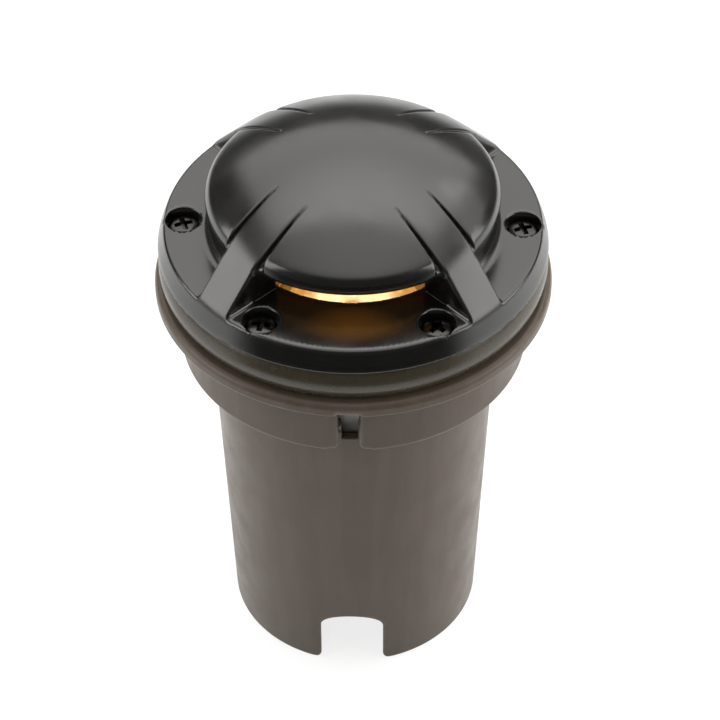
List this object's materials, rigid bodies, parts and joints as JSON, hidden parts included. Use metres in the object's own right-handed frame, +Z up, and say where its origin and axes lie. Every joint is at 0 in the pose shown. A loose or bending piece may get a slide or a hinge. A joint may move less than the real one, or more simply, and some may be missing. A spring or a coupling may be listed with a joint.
{
  "type": "in ground well light",
  "caption": "In-ground well light: domed cover with strap ribs and a shielded light slit over a canister housing, a tilting reflector lamp and a tapered sleeve.",
  "frame": {"origin": "centre of the ground sleeve's bottom rim", "axes": "+Z up along the light's axis, -Y towards the lit slit and the sleeve's cable cut-out, +X to the right"},
  "size_m": [0.1208, 0.1208, 0.1834],
  "materials": {
    "brown_composite": "moulded brown composite with a satin skin",
    "bronze_paint": "die-cast aluminium, satin bronze powder coat",
    "black_paint": "die-cast aluminium, satin black powder coat",
    "black_steel": "blackened steel",
    "plain_steel": "plain stainless steel",
    "cast_aluminium": "bare die-cast aluminium",
    "plain_brass": "plain brass",
    "clear_glass": "clear toughened glass",
    "black_rubber": "black silicone rubber",
    "white_nylon": "natural nylon",
    "black_nylon": "black moulded nylon",
    "lead_silicone": "silicone insulation",
    "white_ceramic": "unglazed ceramic",
    "lit_board": "white board with a warm light source",
    "lit_optic": "clear moulded optic, lit warm white"
  },
  "bodies": {
    "ground_sleeve": {"ground_sleeve": "brown_composite"},
    "housing": {"lamp_housing": "bronze_paint", "lens_glass": "clear_glass", "upper_gasket": "black_rubber", "lower_gasket": "black_rubber", "lamp_stand": "plain_steel", "stand_screws": "plain_steel", "swivel_screw": "plain_steel", "swivel_washer": "plain_steel", "swivel_nut": "plain_steel", "terminal_block": "black_nylon", "terminal_screws": "plain_brass", "gland_body": "black_nylon", "gland_washer": "black_rubber", "gland_locknut": "black_nylon", "gland_seal": "black_rubber", "gland_nut": "black_nylon"},
    "cover": {"cover": "black_paint", "cover_screws": "black_steel", "screw_washers": "plain_steel"},
    "yoke": {"yoke": "plain_steel"},
    "lamp": {"gimbal_ring": "cast_aluminium", "pivot_screws": "plain_brass", "pivot_washers": "white_nylon", "lamp_retainer": "plain_steel", "lamp_heatsink": "cast_aluminium", "led_board": "lit_board", "lamp_optic": "lit_optic", "lamp_base": "white_ceramic", "lamp_pins": "plain_steel", "lamp_socket": "white_ceramic", "socket_leads": "lead_silicone"}
  },
  "joints": [
    {"name": "housing_lift", "type": "slide", "parent": "ground_sleeve", "child": "housing", "axis": [0, 0, 1], "range_m": [0, 0.14]},
    {"name": "cover_lift", "type": "slide", "parent": "housing", "child": "cover", "axis": [0, 0, 1], "range_m": [0, 0.04]},
    {"name": "lamp_swivel", "type": "hinge", "parent": "housing", "child": "yoke", "pos_m": [0, 0, 0.063], "axis": [0, 0, 1], "range_deg": [-60, 60], "deforming": ["socket_leads"]},
    {"name": "lamp_tilt", "type": "hinge", "parent": "yoke", "child": "lamp", "pos_m": [0, 0, 0.1217], "axis": [1, 0, 0], "range_deg": [-20, 20], "deforming": ["socket_leads"]}
  ]
}
